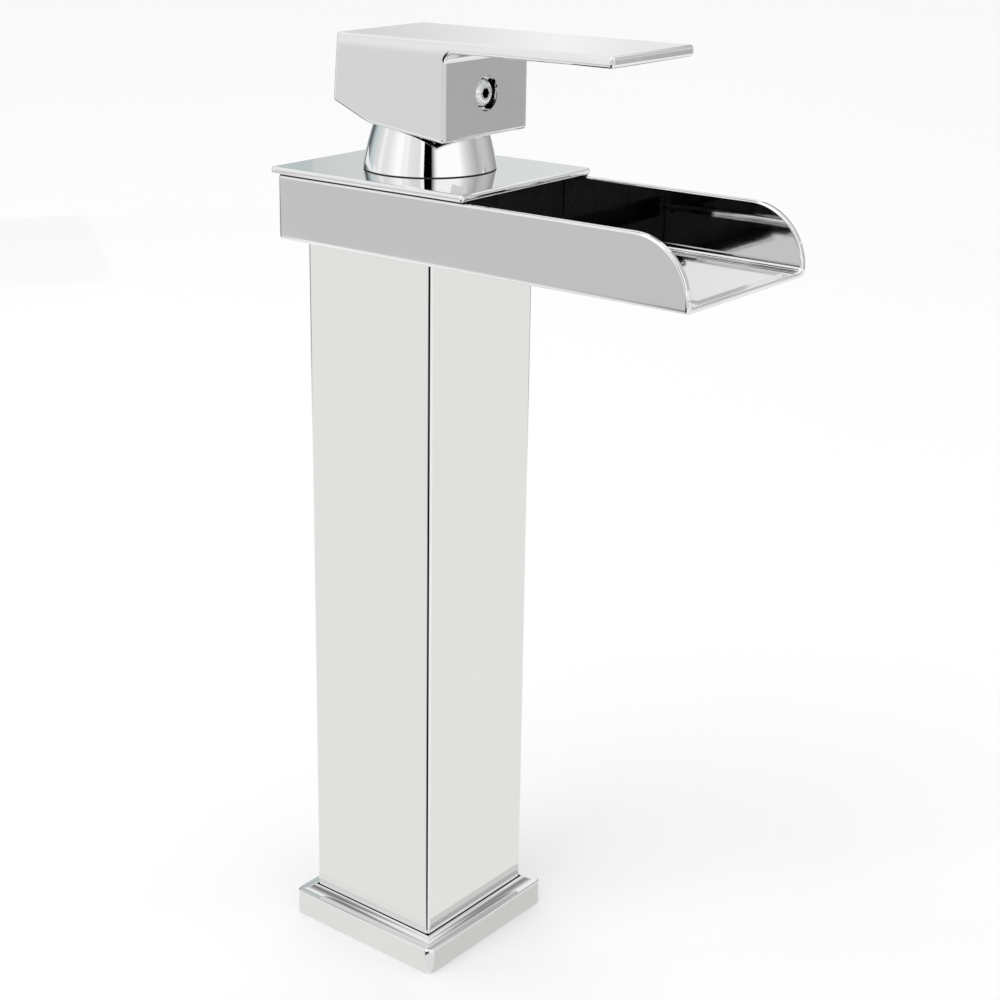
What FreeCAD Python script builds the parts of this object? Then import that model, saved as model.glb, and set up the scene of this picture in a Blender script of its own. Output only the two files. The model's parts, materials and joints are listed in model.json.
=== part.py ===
import FreeCAD, Part
import math
import os
import re
import Sketcher

# Tall single-lever basin mixer with an open waterfall spout, in millimetres.
# The origin is the centre of the mixer's underside, where it stands on the basin or counter.
# +Z is up and +X points to the spout's lip. The valve's own axis is vertical, a little ahead of the origin.
# Everything is chrome-plated brass outside; the ceramic-disc cartridge inside is of the common 35 mm kind.

# Driving dimensions: alias, millimetres (or degrees), what it is.
DIMENSIONS = [
    # Shared
    ("overrun", 1.0, "how far a cut or a boss runs on past the face it has to reach"),
    # Base plate and the gasket under it
    ("base_side", 61.0, "base plate, across its sides"),
    ("base_edge_height", 8.9, "base plate, height of the outer edge"),
    ("cove_start", 1.3, "base plate, distance from its side to the foot of the hollowed top"),
    ("cove_radius", 5.45, "base plate, radius of the hollowed top"),
    ("cove_rise", 1.6, "base plate, rise of the hollowed top towards the column"),
    ("base_corner", 2.5, "base plate, radius of the upright corners"),
    ("base_edge_round", 0.7, "base plate, rounding of the top edges"),
    ("base_joint_gap", 0.35, "gap between the base plate and the column"),
    ("ledge_height", 3.5, "height of the ledge that carries the column's end"),
    ("ledge_half", 20.2, "half of the opening inside the ledge"),
    ("gasket_inner_half", 22.5, "base gasket, half of its inner side"),
    ("gasket_outer_half", 26.5, "base gasket, half of its outer side"),
    ("gasket_thick", 1.8, "base gasket, thickness"),
    # Column
    ("column_side", 50.0, "square column, across its sides"),
    ("column_wall", 2.2, "column wall"),
    ("column_corner", 1.1, "column, radius of the upright edges"),
    ("soldered_gap", 0.1, "gap between the column's wall and the blocks soldered in it"),
    # Inlet block at the column's foot
    ("inlet_block_top", 26.0, "height of the inlet block's top"),
    ("spigot_gap", 0.2, "gap between the block's spigot and the ledge"),
    ("supply_x", 7.0, "supply holes and riser tubes, distance ahead of the origin"),
    ("supply_y", 8.5, "supply holes and riser tubes, distance each side of the middle"),
    ("supply_thread_radius", 4.5, "bored radius of the M10 x 1 supply threads"),
    ("supply_thread_depth", 13.0, "depth of the supply threads"),
    ("water_way_radius", 3.0, "radius of the drilled water ways"),
    ("stud_x", -9.5, "M8 stud holes, place along the spout's direction"),
    ("stud_y", 8.5, "M8 stud holes, distance each side of the middle"),
    ("stud_thread_radius", 3.4, "bored radius of the M8 stud threads"),
    ("stud_depth", 16.0, "depth of the stud holes"),
    # Riser tubes and their seals
    ("riser_radius", 5.0, "riser tubes, outer radius"),
    ("riser_wall", 1.0, "riser tubes, wall"),
    ("socket_depth", 8.0, "depth of the sockets that hold the risers"),
    ("socket_gap", 0.05, "radial clearance of a riser in its socket"),
    ("seal_section", 0.9, "riser seals, section radius"),
    ("seal_inset", 4.0, "riser seals, distance from the socket's mouth"),
    # Valve body
    ("valve_x", 3.5, "valve axis, distance ahead of the origin"),
    ("valve_block_low", 214.0, "height of the valve body's underside"),
    ("cup_radius", 19.0, "valve cup, outer radius"),
    ("cup_foot_radius", 18.4, "valve cup, radius of its foot below the spout's floor"),
    ("cup_top", 263.0, "height of the valve cup's rim"),
    ("cup_floor", 239.0, "height of the valve cup's floor"),
    ("cup_bore", 17.5, "valve cup, bore radius"),
    ("thread_low", 260.0, "height where the retaining thread starts"),
    ("thread_radius", 17.95, "retaining thread, radius"),
    ("gallery_low", 223.0, "outlet gallery, height of its floor"),
    ("gallery_tall", 5.0, "outlet gallery, height"),
    ("gallery_half", 3.0, "outlet gallery, half width"),
    ("outlet_x", -19.4, "outlets into the spout, place along the spout's direction"),
    ("outlet_y", 9.0, "outlets into the spout, distance each side of the middle"),
    ("outlet_radius", 2.6, "outlets into the spout, radius"),
    # Spout
    ("spout_under", 238.0, "height of the spout's underside"),
    ("spout_rear", -31.9, "spout, rear face"),
    ("spout_lip", 117.5, "spout, front lip"),
    ("spout_width", 61.8, "spout, across its side walls"),
    ("spout_tall", 20.1, "spout, height of its side walls"),
    ("spout_wall", 2.2, "spout, thickness of its walls"),
    ("spout_floor", 1.6, "spout, thickness of its floor"),
    ("wing_radius", 18.0, "spout, radius of the side walls' front corner"),
    ("spout_edge_round", 1.4, "spout, rounding of the lower and upright edges"),
    ("spout_inner_round", 1.5, "spout, radius between floor and side walls"),
    ("wall_edge_round", 0.7, "spout, rounding of the side walls' top edges"),
    ("panel_raise", 0.6, "spout, height of the raised floor panel"),
    ("panel_half", 22.0, "spout, half width of the raised floor panel"),
    ("panel_rear", 40.0, "spout, rear end of the raised floor panel"),
    ("panel_setback", 2.4, "spout, distance from the lip to the raised panel"),
    ("spout_gasket_thick", 1.0, "gasket between the valve body and the spout"),
    ("cup_clearance", 0.3, "gap round the valve cup where it passes plates"),
    # Screws that hold the spout down
    ("screw_x", 18.5, "spout screws, distance ahead of and behind the origin"),
    ("screw_y", 18.5, "spout screws, distance each side of the middle"),
    ("screw_radius", 1.95, "spout screws, shank radius"),
    ("screw_head_radius", 3.4, "spout screws, head radius"),
    ("screw_head_tall", 2.2, "spout screws, head height"),
    ("screw_length", 12.0, "spout screws, shank length"),
    ("screw_hole_gap", 0.25, "clearance round a spout screw in the spout's floor"),
    ("driver_radius", 1.5, "spout screws, radius of the socket for the driver"),
    ("driver_depth", 1.5, "spout screws, depth of the socket for the driver"),
    # Flow baffle
    ("baffle_front", 33.5, "flow baffle, front face"),
    ("baffle_thick", 4.0, "flow baffle, thickness"),
    ("baffle_gap", 0.3, "gap between the baffle and the walls round it"),
    ("outlet_gap", 4.0, "flow baffle, height of the gap under it"),
    ("baffle_foot", 3.0, "flow baffle, width of its feet and of the cheeks behind them"),
    ("weir_front", 26.5, "flow baffle, front face of the weir behind the gap"),
    ("weir_thick", 2.0, "flow baffle, thickness of the weir"),
    ("weir_tall", 7.0, "flow baffle, height of the weir"),
    # Cover plate
    ("cover_rear", -34.4, "cover plate, rear edge"),
    ("cover_front", 41.7, "cover plate, front edge"),
    ("cover_width", 62.6, "cover plate, across"),
    ("cover_thick", 2.2, "cover plate, thickness"),
    ("cover_gasket_thick", 0.3, "gasket under the cover plate, thickness"),
    ("cover_gasket_inset", 0.6, "gasket under the cover plate, set in from the outside"),
    ("cover_gasket_width", 1.3, "gasket under the cover plate, width of the strip"),
    ("cover_corner", 1.0, "cover plate, radius of its corners"),
    ("cover_round", 0.9, "cover plate, rounding of the upper and lower edges"),
    # Cartridge: base, discs, carrier
    ("cartridge_radius", 17.4, "cartridge, outer radius"),
    ("cartridge_base_thick", 4.0, "cartridge base, thickness"),
    ("port_x", 3.5, "inlet ports, distance ahead of the valve axis"),
    ("port_radius", 3.0, "inlet ports, radius"),
    ("drain_x", -8.5, "outlet port, distance ahead of the valve axis"),
    ("drain_radius", 3.4, "outlet port, radius"),
    ("port_seal_inner", 3.8, "port seals, inner radius"),
    ("port_seal_outer", 5.1, "port seals, outer radius"),
    ("port_seal_tall", 1.2, "port seals, height"),
    ("fixed_disc_radius", 15.5, "fixed ceramic disc, radius"),
    ("fixed_disc_thick", 3.5, "fixed ceramic disc, thickness"),
    ("water_film", 0.05, "gap between the two ceramic discs"),
    ("moving_disc_radius", 12.0, "moving ceramic disc, radius"),
    ("moving_disc_top", 249.5, "height of the moving ceramic disc's top"),
    ("disc_offset", -2.26, "moving disc's centre from the valve axis when shut"),
    ("pocket_rear", -8.0, "mixing pocket, rear edge from the disc's centre"),
    ("pocket_front", 2.4, "mixing pocket, front edge from the disc's centre"),
    ("pocket_half", 7.5, "mixing pocket, half width"),
    ("pocket_depth", 1.5, "mixing pocket, depth"),
    ("carrier_radius", 12.6, "disc carrier, radius"),
    ("carrier_flat", 11.4, "disc carrier, half distance across the guided flats"),
    ("carrier_top", 254.2, "height of the disc carrier's top"),
    ("ball_socket_radius", 2.3, "ball socket in the disc carrier, radius"),
    ("ball_socket_low", 250.0, "height of the ball socket's floor"),
    # Cartridge: housing, spindle, stem
    ("housing_bore", 15.8, "cartridge housing, bore radius"),
    ("shoulder_low", 258.0, "height of the housing shoulder's underside"),
    ("neck_radius", 12.5, "housing neck, outer radius"),
    ("neck_bore", 10.6, "housing neck, bore radius"),
    ("neck_top", 269.0, "height of the housing neck's end"),
    ("spindle_radius", 10.55, "spindle carrier, neck radius"),
    ("spindle_flange_radius", 15.4, "spindle carrier, flange radius"),
    ("spindle_flange_low", 254.5, "height of the spindle flange's underside"),
    ("spindle_flange_top", 257.0, "height of the spindle flange's top"),
    ("spindle_top", 270.0, "height of the spindle carrier's end"),
    ("lug_low", 250.0, "height of the guide lugs' ends"),
    ("lug_inner", 11.6, "guide lugs, inner face from the middle"),
    ("lug_outer", 14.0, "guide lugs, outer face from the middle"),
    ("lug_half", 6.0, "guide lugs, half length"),
    ("slot_half_long", 8.2, "stem slot in the spindle, half length"),
    ("slot_half_wide", 4.2, "stem slot in the spindle, half width"),
    ("slip_ring_bore", 11.0, "slip ring, bore radius"),
    ("slip_ring_gap", 0.05, "running gap under the slip ring"),
    ("pivot_height", 263.0, "height of the lever's pivot"),
    ("pin_radius", 1.5, "pivot pin, radius"),
    ("pin_gap", 0.05, "radial running clearance of the stem on its pin"),
    ("pin_half_length", 9.4, "pivot pin, half length"),
    ("stem_half", 4.0, "square stem, half across its flats"),
    ("stem_low", 258.5, "height where the square stem ends below the pivot"),
    ("stem_top", 292.0, "height of the stem's top"),
    ("rod_radius", 1.5, "rod between stem and ball, radius"),
    ("ball_height", 252.3, "height of the ball's centre"),
    ("ball_radius", 2.2, "ball on the stem's end, radius"),
    # Retaining nut, ring and trim cap
    ("nut_bore", 12.8, "retaining nut, bore radius"),
    ("nut_thread_gap", 0.1, "gap between the nut and its thread"),
    ("nut_corner", 17.2, "retaining nut, radius over the corners of its hexagon"),
    ("nut_top", 266.6, "height of the retaining nut's top"),
    ("cap_foot_radius", 20.6, "trim cap, radius where it meets the cover plate"),
    ("cap_top_radius", 17.3, "trim cap, radius at its top"),
    ("cap_tall", 13.5, "trim cap, height"),
    ("cap_bulge", 90.0, "trim cap, radius of its slightly bulged side"),
    ("cap_wall", 1.1, "trim cap, wall"),
    ("cap_seat_radius", 19.3, "trim cap, bore radius round the valve cup"),
    ("cap_seat_tall", 3.3, "trim cap, height of its straight bore"),
    ("cap_mouth", 14.4, "trim cap, radius of the opening in its top"),
    ("cap_ring_outer", 20.35, "rubber ring under the trim cap, radius of its flange"),
    ("cap_ring_flange", 0.3, "rubber ring under the trim cap, thickness of its flange"),
    ("cap_ring_tall", 1.8, "rubber ring under the trim cap, height of its lip"),
    ("cap_ring_gap", 0.05, "gap between the rubber ring's lip and the valve cup"),
    # Handle: a hollow block and a thin lever in one casting
    ("handle_top", 301.5, "height of the handle's top"),
    ("handle_width", 40.0, "handle, across"),
    ("block_front", 25.3, "handle block, front face"),
    ("block_front_low", 271.9, "height of the block's lower front edge"),
    ("block_bend_x", -4.8, "block underside, place where it turns up"),
    ("block_bend_low", 275.4, "block underside, height where it turns up"),
    ("block_rear", -18.5, "handle block, rear face at its foot"),
    ("block_rear_low", 281.0, "height of the block's lower rear edge"),
    ("block_rear_lean", 1.8, "handle block, lean of the rear face"),
    ("lever_end", 83.9, "lever, front end"),
    ("lever_thick", 3.4, "lever, thickness"),
    ("lever_root_radius", 3.0, "radius between lever and block"),
    ("handle_round", 1.1, "handle, rounding of the outer edges"),
    ("bend_round", 12.0, "block underside, radius at the bend"),
    ("hollow_rear", -15.5, "handle hollow, rear wall"),
    ("hollow_front", 23.3, "handle hollow, front wall"),
    ("hollow_half", 18.1, "handle hollow, half width"),
    ("hollow_roof", 297.0, "height of the handle hollow's roof"),
    ("boss_radius", 8.0, "stem boss in the hollow, radius"),
    ("boss_low", 280.0, "height of the stem boss's foot"),
    ("stem_gap", 0.05, "gap between the stem and its socket"),
    ("set_screw_height", 284.8, "height of the set screw's axis"),
    ("set_screw_radius", 3.0, "set screw, thread radius"),
    ("set_screw_gap", 0.05, "gap round the set screw"),
    ("set_screw_boss", 6.2, "set screw boss in the hollow, radius"),
    ("set_screw_face", 24.9, "set screw, place of its outer face"),
    ("set_screw_head", 4.4, "set screw, radius of its domed head"),
    ("set_screw_head_long", 2.4, "set screw, length of its domed head"),
    ("set_screw_dome", 2.2, "set screw, rounding of its domed head"),
    ("recess_radius", 5.25, "recess round the set screw, radius"),
    ("recess_depth", 3.2, "recess round the set screw, depth"),
    ("hex_socket_radius", 1.65, "set screw, radius over the corners of its hexagon socket"),
    ("hex_socket_depth", 3.0, "set screw, depth of its hexagon socket"),
]

SMALLEST_CUT = 0.001

document = FreeCAD.newDocument("basin_mixer")
sheet = document.addObject("Spreadsheet::Sheet", "Dims")
for row, (alias, size, note) in enumerate(DIMENSIONS, start=1):
    sheet.set("A%d" % row, note)
    sheet.set("B%d" % row, str(size))
    sheet.setAlias("B%d" % row, alias)
document.recompute()


# ---------------------------------------------------------------- expressions

def in_sheet(expression):
    """The expression with each alias named in full, so that any object can use it."""
    return re.sub(r"\b([a-z]\w*)\b(?!\()", r"Dims.\1", expression)


def number(expression):
    return float(sheet.evalExpression(in_sheet(expression)))


def bind(thing, path, expression):
    thing.setExpression(path, in_sheet(expression))


# ---------------------------------------------------------------- sketches

def new_body(name, x="0", y="0"):
    """A body whose own upright axis stands at x, y."""
    body = document.addObject("PartDesign::Body", name)
    body.Label = name
    bind(body, ".Placement.Base.x", x)
    bind(body, ".Placement.Base.y", y)
    return body


def new_sketch(body, name, plane, offset):
    """A sketch on one of the body's origin planes, moved along the plane's normal."""
    sketch = body.newObject("Sketcher::SketchObject", body.Name + "_" + name)
    support = [item for item in body.Origin.OriginFeatures if item.Role == plane][0]
    sketch.AttachmentSupport = [(support, "")]
    sketch.MapMode = "FlatFace"
    bind(sketch, ".AttachmentOffset.Base.z", offset)
    return sketch


def level(body, name, height):
    """A level sketch at a height: its x and y are the body's X and Y."""
    return new_sketch(body, name, "XY_Plane", height)


def side_view(body, name):
    """A sketch on the middle plane seen from the side: its x and y are the body's X and Z."""
    return new_sketch(body, name, "XZ_Plane", "0")


def front_view(body, name, place):
    """A sketch facing +X at a place along X: its x and y are the body's Y and Z."""
    return new_sketch(body, name, "YZ_Plane", place)


def fix_point(sketch, geometry, point, x, y):
    """Hold one point of a sketch's geometry at two expressions."""
    for kind, expression in (("DistanceX", x), ("DistanceY", y)):
        held = sketch.addConstraint(Sketcher.Constraint(kind, geometry, point, number(expression)))
        bind(sketch, "Constraints[%d]" % held, expression)


def polygon(sketch, corners):
    """A closed outline of straight lines through corners given as pairs of expressions."""
    places = [FreeCAD.Vector(number(x), number(y), 0) for x, y in corners]
    count = len(corners)
    first = sketch.GeometryCount
    for i in range(count):
        sketch.addGeometry(Part.LineSegment(places[i], places[(i + 1) % count]))
    for i in range(count):
        following = first + (i + 1) % count
        sketch.addConstraint(Sketcher.Constraint("Coincident", first + i, 2, following, 1))
        fix_point(sketch, first + i, 1, *corners[i])
    return sketch


def rectangle(sketch, left, right, low, high):
    return polygon(sketch, [(left, low), (right, low), (right, high), (left, high)])


def centred_square(sketch, half):
    return rectangle(sketch, "-(%s)" % half, half, "-(%s)" % half, half)


def circle(sketch, x, y, radius):
    centre = FreeCAD.Vector(number(x), number(y), 0)
    upright = FreeCAD.Vector(0, 0, 1)
    ring = sketch.addGeometry(Part.Circle(centre, upright, number(radius)))
    fix_point(sketch, ring, 3, x, y)
    held = sketch.addConstraint(Sketcher.Constraint("Radius", ring, number(radius)))
    bind(sketch, "Constraints[%d]" % held, radius)
    return sketch


def hexagon(sketch, x, y, corner_radius):
    """A hexagon with two corners on the sketch's own x direction."""
    half_wide = "%s / 2" % corner_radius
    half_tall = "%s * %.7f" % (corner_radius, math.sin(math.radians(60)))
    return polygon(sketch, [
        (x + " + " + corner_radius, y),
        (x + " + " + half_wide, y + " + " + half_tall),
        (x + " - " + half_wide, y + " + " + half_tall),
        (x + " - " + corner_radius, y),
        (x + " - " + half_wide, y + " - " + half_tall),
        (x + " + " + half_wide, y + " - " + half_tall),
    ])


# ---------------------------------------------------------------- features

def add(body, sketch, length):
    """Pad a sketch along its plane's normal."""
    pad = body.newObject("PartDesign::Pad", sketch.Name + "_pad")
    pad.Profile = sketch
    bind(pad, "Length", length)
    document.recompute()
    return pad


def remove(body, sketch, length):
    """Pocket a sketch against its plane's normal, and make sure that it took something away."""
    before = body.Shape.Volume
    pocket = body.newObject("PartDesign::Pocket", sketch.Name + "_pocket")
    pocket.Profile = sketch
    bind(pocket, "Length", length)
    document.recompute()
    if before - body.Shape.Volume < SMALLEST_CUT:
        raise RuntimeError(pocket.Name + " cuts nothing")
    return pocket


def turned(name, corners, x="valve_x", y="0"):
    """A body turned about the upright axis at x, y, from corners given as (radius, height)."""
    body = new_body(name, x, y)
    turn(body, polygon(side_view(body, "profile"), corners))
    return body


def turn(body, sketch):
    revolution = body.newObject("PartDesign::Revolution", sketch.Name + "_turned")
    revolution.Profile = sketch
    revolution.ReferenceAxis = (sketch, ["V_Axis"])
    revolution.Angle = 360
    document.recompute()
    return revolution


def tube(name, inner, outer, low, high, x="valve_x", y="0"):
    return turned(name, [(inner, low), (outer, low), (outer, high), (inner, high)], x, y)


def edges_where(body, test):
    """Names of the edges of the body's shape whose box, in the body's own frame, passes a test."""
    found = []
    for index, edge in enumerate(body.Tip.Shape.Edges, start=1):
        if test(edge.BoundBox):
            found.append("Edge%d" % index)
    if not found:
        raise RuntimeError("no edge to work on in " + body.Name)
    return found


def round_edges(body, name, radius, test):
    fillet_base = body.Tip
    names = edges_where(body, test)
    fillet = body.newObject("PartDesign::Fillet", body.Name + "_" + name)
    fillet.Base = (fillet_base, names)
    bind(fillet, "Radius", radius)
    document.recompute()
    return fillet


def near(a, b, slack=0.02):
    return abs(a - b) < slack


def is_upright(box):
    return near(box.XLength, 0) and near(box.YLength, 0)


def is_level_at(box, height):
    return near(box.ZMin, height) and near(box.ZMax, height)


# ---------------------------------------------------------------- base, column and water ways

def make_base_plate():
    """A square plate round the column's foot, whose top rises to the column in a hollow curve."""
    body = new_body("base_plate")
    top = "base_edge_height + cove_rise"
    side = "base_side / 2 + overrun"
    foot = "base_side / 2 - cove_start"
    add(body, centred_square(level(body, "outline", "0"), "base_side / 2"), top)
    round_edges(body, "corners", "base_corner", is_upright)
    for plane in ("YZ_Plane", "XZ_Plane"):
        rim = new_sketch(body, "rim_" + plane, plane, side)
        rectangle(rim, foot, side, "base_edge_height", top + " + overrun")
        rectangle(rim, "-(%s)" % side, "-(%s)" % foot, "base_edge_height", top + " + overrun")
        remove(body, rim, "base_side + 2 * overrun")
        cove = new_sketch(body, "cove_" + plane, plane, side)
        circle(cove, foot, "base_edge_height + cove_radius", "cove_radius")
        circle(cove, "-(%s)" % foot, "base_edge_height + cove_radius", "cove_radius")
        remove(body, cove, "base_side + 2 * overrun")
    edge = number("base_edge_height")
    outermost = number("base_side / 2")

    def is_rim(box):
        reach = max(box.XMax, box.YMax, -box.XMin, -box.YMin)
        return is_level_at(box, edge) and near(reach, outermost)
    round_edges(body, "edge", "base_edge_round", is_rim)

    column_hole = centred_square(level(body, "column_hole", top), "column_side / 2 + base_joint_gap")
    remove(body, column_hole, top + " - ledge_height")
    remove(body, centred_square(level(body, "opening", "ledge_height"), "ledge_half"), "ledge_height")
    groove = level(body, "gasket_groove", "gasket_thick")
    centred_square(groove, "gasket_inner_half")
    centred_square(groove, "gasket_outer_half")
    remove(body, groove, "gasket_thick")
    return body


def make_base_gasket():
    body = new_body("base_gasket")
    outline = level(body, "outline", "0")
    centred_square(outline, "gasket_inner_half")
    centred_square(outline, "gasket_outer_half")
    add(body, outline, "gasket_thick")
    return body


def make_column():
    body = new_body("column")
    outline = centred_square(level(body, "outline", "ledge_height"), "column_side / 2")
    add(body, outline, "spout_under - ledge_height")
    round_edges(body, "edges", "column_corner", is_upright)
    bore = centred_square(level(body, "bore", "spout_under"), "column_side / 2 - column_wall")
    remove(body, bore, "spout_under - ledge_height")
    return body


def drill(body, name, top, depth, places, radius):
    """Round holes at several places, from a height down."""
    sketch = level(body, name, top)
    for x, y in places:
        circle(sketch, x, y, radius)
    remove(body, sketch, depth)


def both_sides(x, y):
    return [(x, y), (x, "-" + y)]


def socket_and_groove(body, name, top, groove_height):
    """Sockets for the two risers, each with a groove for its rubber ring."""
    places = both_sides("supply_x", "supply_y")
    drill(body, name, top, "socket_depth", places, "riser_radius + socket_gap")
    groove_top = groove_height + " + seal_section"
    drill(body, name + "_groove", groove_top, "2 * seal_section", places, "riser_radius + 2 * seal_section")


def make_inlet_block():
    body = new_body("inlet_block")
    block_half = "column_side / 2 - column_wall - soldered_gap"
    spigot = centred_square(level(body, "spigot", "0"), "ledge_half - spigot_gap")
    add(body, spigot, "inlet_block_top")
    block = centred_square(level(body, "block", "ledge_height"), block_half)
    add(body, block, "inlet_block_top - ledge_height")

    supplies = both_sides("supply_x", "supply_y")
    drill(body, "supply_threads", "supply_thread_depth", "supply_thread_depth", supplies,
          "supply_thread_radius")
    drill(body, "water_ways", "inlet_block_top", "inlet_block_top - supply_thread_depth", supplies,
          "water_way_radius")
    socket_and_groove(body, "riser_sockets", "inlet_block_top", "inlet_block_top - seal_inset")
    drill(body, "stud_threads", "stud_depth", "stud_depth", both_sides("stud_x", "stud_y"),
          "stud_thread_radius")
    return body


def make_riser(name, y):
    return tube(name, "riser_radius - riser_wall", "riser_radius", "inlet_block_top - socket_depth",
                "valve_block_low + socket_depth", "supply_x", y)


def make_riser_seals():
    """Four rubber rings, one in each riser socket."""
    rings = []
    for height in ("inlet_block_top - seal_inset", "valve_block_low + seal_inset"):
        for x, y in both_sides("supply_x", "supply_y"):
            ring = document.addObject("Part::Torus", "riser_seal_%d" % (len(rings) + 1))
            bind(ring, "Radius1", "riser_radius + seal_section")
            bind(ring, "Radius2", "seal_section")
            bind(ring, ".Placement.Base.x", x)
            bind(ring, ".Placement.Base.y", y)
            bind(ring, ".Placement.Base.z", height)
            rings.append(ring)
    return group("riser_seals", rings)


def group(name, pieces):
    """Separate like pieces kept as one sub-part."""
    compound = document.addObject("Part::Compound", name)
    compound.Label = name
    compound.Links = pieces
    document.recompute()
    return compound


def screw_places():
    return [(x, y) for x in ("screw_x", "-screw_x") for y in ("screw_y", "-screw_y")]


def make_valve_body():
    """A square block in the column's top, with the round cup for the cartridge standing on it."""
    body = new_body("valve_body")
    block_top = "spout_under - spout_gasket_thick"
    block = level(body, "block", "valve_block_low")
    centred_square(block, "column_side / 2 - column_wall - soldered_gap")
    add(body, block, block_top + " - valve_block_low")
    foot = circle(level(body, "cup_foot", block_top), "valve_x", "0", "cup_foot_radius")
    add(body, foot, "spout_gasket_thick")
    cup = circle(level(body, "cup", "spout_under"), "valve_x", "0", "cup_radius")
    add(body, cup, "cup_top - spout_under")
    drill(body, "bore", "cup_top", "cup_top - cup_floor", [("valve_x", "0")], "cup_bore")
    drill(body, "thread", "cup_top", "cup_top - thread_low", [("valve_x", "0")], "thread_radius")

    supplies = both_sides("supply_x", "supply_y")
    drill(body, "water_ways", "cup_floor", "cup_floor - valve_block_low", supplies, "water_way_radius")
    socket_top = "valve_block_low + socket_depth"
    socket_and_groove(body, "riser_sockets", socket_top, "valve_block_low + seal_inset")

    drain = [("valve_x + drain_x", "0")]
    drill(body, "drain", "cup_floor", "cup_floor - gallery_low", drain, "gallery_half")
    long_way = level(body, "gallery", "gallery_low + gallery_tall")
    rectangle(long_way, "outlet_x", "valve_x + drain_x", "-gallery_half", "gallery_half")
    remove(body, long_way, "gallery_tall")
    cross_way = level(body, "cross_gallery", "gallery_low + gallery_tall")
    rectangle(cross_way, "outlet_x - outlet_radius / 2", "outlet_x + outlet_radius", "-outlet_y", "outlet_y")
    remove(body, cross_way, "gallery_tall")
    drill(body, "outlets", block_top, block_top + " - gallery_low - gallery_tall / 2",
          both_sides("outlet_x", "outlet_y"), "outlet_radius")
    drill(body, "screw_holes", block_top, "screw_length", screw_places(), "screw_radius")
    return body


def make_spout_gasket():
    body = new_body("spout_gasket")
    outline = level(body, "outline", "spout_under - spout_gasket_thick")
    centred_square(outline, "column_side / 2 - column_wall - soldered_gap")
    add(body, outline, "spout_gasket_thick")
    cup = [("valve_x", "0")]
    drill(body, "cup_hole", "spout_under", "spout_gasket_thick", cup, "cup_foot_radius + soldered_gap")
    drill(body, "outlet_holes", "spout_under", "spout_gasket_thick",
          both_sides("outlet_x", "outlet_y"), "outlet_radius + screw_hole_gap")
    drill(body, "screw_holes", "spout_under", "spout_gasket_thick", screw_places(),
          "screw_radius + screw_hole_gap")
    return body


# ---------------------------------------------------------------- spout and cover

def make_spout_trough():
    """An open channel with a closed rear end, whose side walls sweep down to the lip."""
    body = new_body("spout_trough")
    outline = level(body, "outline", "spout_under")
    rectangle(outline, "spout_rear", "spout_lip", "-spout_width / 2", "spout_width / 2")
    add(body, outline, "spout_tall")

    lip = number("spout_lip")
    rear = number("spout_rear")
    half = number("spout_width / 2")
    low = number("spout_under")
    high = number("spout_under + spout_tall")
    round_edges(body, "wings", "wing_radius",
                lambda box: near(box.XMin, lip) and near(box.XMax, lip) and is_level_at(box, high))

    def is_outer_edge(box):
        upright_rear = is_upright(box) and near(box.XMin, rear)
        lower_side = is_level_at(box, low) and near(box.YLength, 0)
        lower_rear = is_level_at(box, low) and near(box.XMax, rear)
        return upright_rear or lower_side or lower_rear
    round_edges(body, "outer_edges", "spout_edge_round", is_outer_edge)

    channel = front_view(body, "channel", "spout_lip")
    inner_half = "spout_width / 2 - spout_wall"
    rectangle(channel, "-(%s)" % inner_half, inner_half,
              "spout_under + spout_floor", "spout_under + 2 * spout_tall")
    remove(body, channel, "spout_lip - spout_rear - spout_wall")
    floor = number("spout_under + spout_floor")
    inner = number(inner_half)
    round_edges(body, "inner_edges", "spout_inner_round",
                lambda box: is_level_at(box, floor) and near(box.YLength, 0) and near(abs(box.YMin), inner))

    def is_wall_top(box):
        on_wall = near(abs(box.YMin), half) or near(abs(box.YMin), inner)
        flat_top = near(box.YLength, 0) and is_level_at(box, high)
        swept = near(box.YLength, 0) and box.ZMax > high - 1 and box.ZLength > 1 and box.XMin > 0
        return on_wall and (flat_top or swept)
    round_edges(body, "wall_tops", "wall_edge_round", is_wall_top)

    panel = level(body, "panel", "spout_under + spout_floor / 2")
    rectangle(panel, "panel_rear", "spout_lip - panel_setback", "-panel_half", "panel_half")
    add(body, panel, "spout_floor / 2 + panel_raise")

    floor_top = "spout_under + spout_floor"
    cup = [("valve_x", "0")]
    drill(body, "cup_hole", floor_top, "spout_floor", cup, "cup_radius + cup_clearance")
    drill(body, "outlets", floor_top, "spout_floor", both_sides("outlet_x", "outlet_y"), "outlet_radius")
    drill(body, "screw_holes", floor_top, "spout_floor", screw_places(), "screw_radius + screw_hole_gap")
    return body


def make_spout_screws():
    """Four M4 screws through the spout's floor into the valve body."""
    screws = []
    floor_top = "spout_under + spout_floor"
    for x, y in screw_places():
        name = "spout_screw_%d" % (len(screws) + 1)
        screw = turned(name, [
            ("0", "spout_under - spout_gasket_thick - screw_length"),
            ("screw_radius", "spout_under - spout_gasket_thick - screw_length"),
            ("screw_radius", floor_top),
            ("screw_head_radius", floor_top),
            ("screw_head_radius", floor_top + " + screw_head_tall"),
            ("0", floor_top + " + screw_head_tall"),
        ], x, y)
        socket = hexagon(level(screw, "socket", floor_top + " + screw_head_tall"), "0", "0", "driver_radius")
        remove(screw, socket, "driver_depth")
        screws.append(screw)
    return group("spout_screws", screws)


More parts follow.
